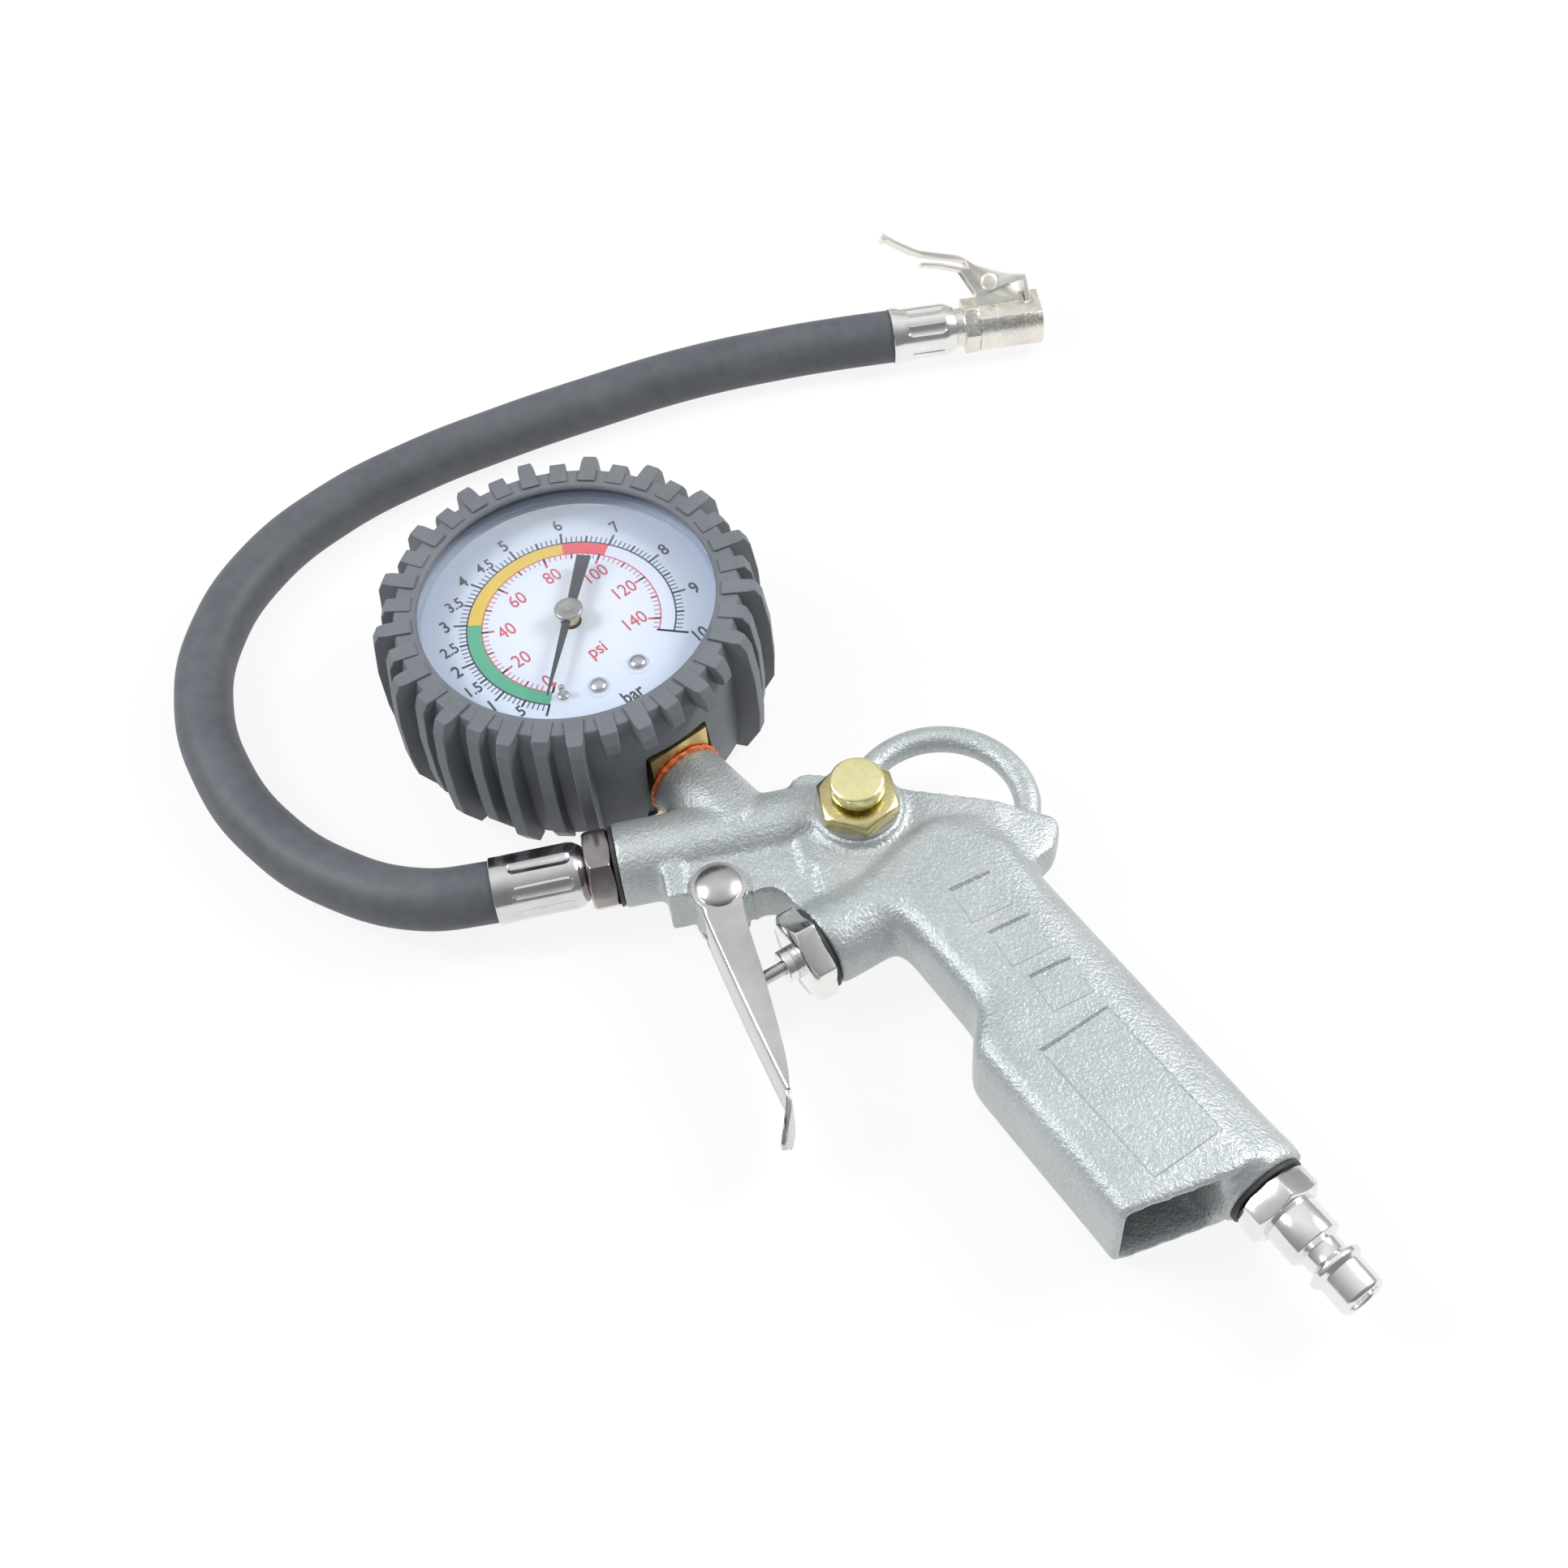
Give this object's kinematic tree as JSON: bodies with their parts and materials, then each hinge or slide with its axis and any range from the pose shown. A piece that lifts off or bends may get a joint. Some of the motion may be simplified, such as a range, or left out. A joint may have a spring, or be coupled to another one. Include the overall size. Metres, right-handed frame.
{
  "type": "portable tire inflator",
  "caption": "Pistol-grip tyre inflator with a round dial gauge in a ribbed rubber boot, a trigger, a bleed button, an air inlet plug and a short hose with a clip-on tyre chuck.",
  "frame": {"origin": "on the table, under the middle of the box round the pistol and its gauge", "axes": "the inflator lies on its side: +Z is square to the dial, +X runs back along the barrel from the hose to the grip, +Y points from the grip to the gauge"},
  "size_m": [0.2368, 0.308, 0.0406],
  "materials": {
    "cast_body": "fine-textured silver-grey paint on die-cast aluminium",
    "chrome": "bright nickel-chrome plating",
    "steel": "bare steel",
    "brass": "machined brass",
    "pale_brass": "pale machined brass",
    "rubber_boot": "moulded rubber, soft sheen",
    "rubber_hose": "smooth rubber hose",
    "seal": "soft sealing rubber",
    "case": "black paint",
    "dial": "white printed sheet",
    "needle": "matt black",
    "lens": "clear lens"
  },
  "bodies": {
    "inflator": {"cast_body": "cast_body", "nipple_seal": "seal", "hose_nipple": "chrome", "gauge_socket": "brass", "gauge_case": "case", "bezel_ring": "case", "lens": "lens", "dial_plate": "dial", "dial_screws": "steel", "stop_pin": "steel", "movement_frame": "brass", "bourdon_tube": "brass", "link_rod": "steel", "rubber_boot": "rubber_boot", "bleed_washer": "seal", "bleed_nut": "pale_brass", "bleed_spring": "steel", "trigger_pin": "chrome", "valve_cap": "chrome", "cap_seal": "seal", "valve_seat": "brass", "inlet_plug": "chrome", "inlet_seal": "seal", "hose": "rubber_hose", "ferrule_gun": "chrome", "ferrule_chuck": "chrome", "chuck_collar": "chrome", "chuck_body": "chrome", "chuck_seal": "seal", "chuck_core": "brass", "chuck_bracket": "chrome", "chuck_pin": "steel", "chuck_spring": "steel"},
    "trigger": {"trigger": "chrome"},
    "valve_stem": {"valve_stem": "steel", "valve_piston": "seal", "valve_spring": "steel"},
    "pointer": {"needle": "needle", "pointer_shaft": "brass"},
    "sector": {"sector_gear": "brass"},
    "button": {"bleed_button": "pale_brass", "bleed_poppet": "seal"},
    "clip": {"chuck_clip": "chrome"}
  },
  "joints": [
    {"name": "trigger_pivot", "type": "hinge", "parent": "inflator", "child": "trigger", "pos_m": [-0.02045, -0.00028, 0.013], "axis": [0, 0, 1], "range_deg": [0, 10], "stiffness_Nm_per_rad": 1.2, "springref_deg": -8.59},
    {"name": "valve_slide", "type": "slide", "parent": "inflator", "child": "valve_stem", "axis": [0.9397, 0.342, 0], "range_m": [0, 0.004]},
    {"name": "sector_turn", "type": "hinge", "parent": "inflator", "child": "sector", "pos_m": [-0.03266, 0.05526, 0.013], "axis": [0, 0, 1], "range_deg": [0, 33.9], "stiffness_Nm_per_rad": 0.02, "springref_deg": -8.59},
    {"name": "pointer_spin", "type": "hinge", "parent": "inflator", "child": "pointer", "pos_m": [-0.04069, 0.07137, 0.013], "axis": [0, 0, -1], "range_deg": [0, 271.6]},
    {"name": "button_slide", "type": "slide", "parent": "inflator", "child": "button", "axis": [0, 0, -1], "range_m": [0, 0.0016], "stiffness_N_per_m": 600, "springref_m": -0.003, "deforming": ["bleed_spring"]},
    {"name": "clip_hinge", "type": "hinge", "parent": "inflator", "child": "clip", "pos_m": [0.08497, 0.17424, 0.01476], "axis": [-0.0448, -0.6932, 0.7193], "range_deg": [0, 4], "stiffness_Nm_per_rad": 0.5, "springref_deg": -8.59}
  ],
  "couplings": [
    {"joint": "valve_slide", "follows": "trigger_pivot", "m_per_rad": 0.0223},
    {"joint": "pointer_spin", "follows": "sector_turn", "ratio": 8}
  ]
}
